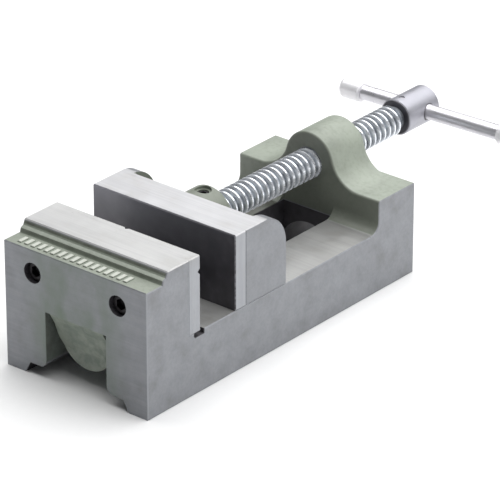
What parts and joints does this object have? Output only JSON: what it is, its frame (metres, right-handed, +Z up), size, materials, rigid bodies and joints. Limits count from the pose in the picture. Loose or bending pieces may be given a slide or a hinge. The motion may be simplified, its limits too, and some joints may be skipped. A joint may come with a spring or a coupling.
{
  "type": "drill press vise",
  "caption": "Flat-bed drill-press vise: cast body with fixed jaw and rails, sliding jaw with screw, hub and sliding handle bar.",
  "frame": {"origin": "on the centre plane at the middle of the body's length, on the plane of the feet", "axes": "+Z up, +Y from the fixed jaw along the screw to the handle, +X to the right seen from the fixed jaw's end"},
  "size_m": [0.1135, 0.2674, 0.0732],
  "materials": {
    "cast_body": "ground and painted sage green",
    "cast_jaw": "ground",
    "ground_plate": "ground",
    "black_plate": "black oxide",
    "black_screws": "black oxide",
    "keeper_steel": "plain",
    "zinc_steel": "bright zinc"
  },
  "bodies": {
    "base": {"body": "cast_body", "fixed_jaw_plate": "ground_plate", "fixed_jaw_screw_left": "black_screws", "fixed_jaw_screw_right": "black_screws"},
    "jaw": {"moving_jaw": "cast_jaw", "moving_jaw_plate": "black_plate", "moving_jaw_screw_left": "black_screws", "moving_jaw_screw_right": "black_screws", "keeper_plate": "keeper_steel", "keeper_screw_front": "black_screws", "keeper_screw_rear": "black_screws", "keeper_washer_front": "keeper_steel", "keeper_washer_rear": "keeper_steel", "thrust_disc": "ground_plate", "retaining_set_screw": "black_screws"},
    "screw": {"lead_screw": "zinc_steel", "handle_hub": "zinc_steel", "hub_pin": "keeper_steel"},
    "handle": {"handle_bar": "zinc_steel", "handle_knob_left": "zinc_steel", "handle_knob_right": "zinc_steel"}
  },
  "joints": [
    {"name": "jaw_slide", "type": "slide", "parent": "base", "child": "jaw", "axis": [0, 1, 0], "range_m": [-0.0251, 0.065]},
    {"name": "screw_turn", "type": "hinge", "parent": "jaw", "child": "screw", "pos_m": [0, -0.0025, 0.057], "axis": [0, 1, 0], "continuous": true},
    {"name": "handle_slide", "type": "slide", "parent": "screw", "child": "handle", "axis": [0.9997, 0, 0.0262], "range_m": [-0.0445, 0.0232]}
  ],
  "couplings": [
    {"joint": "screw_turn", "follows": "jaw_slide", "rad_per_m": 1570.8}
  ]
}
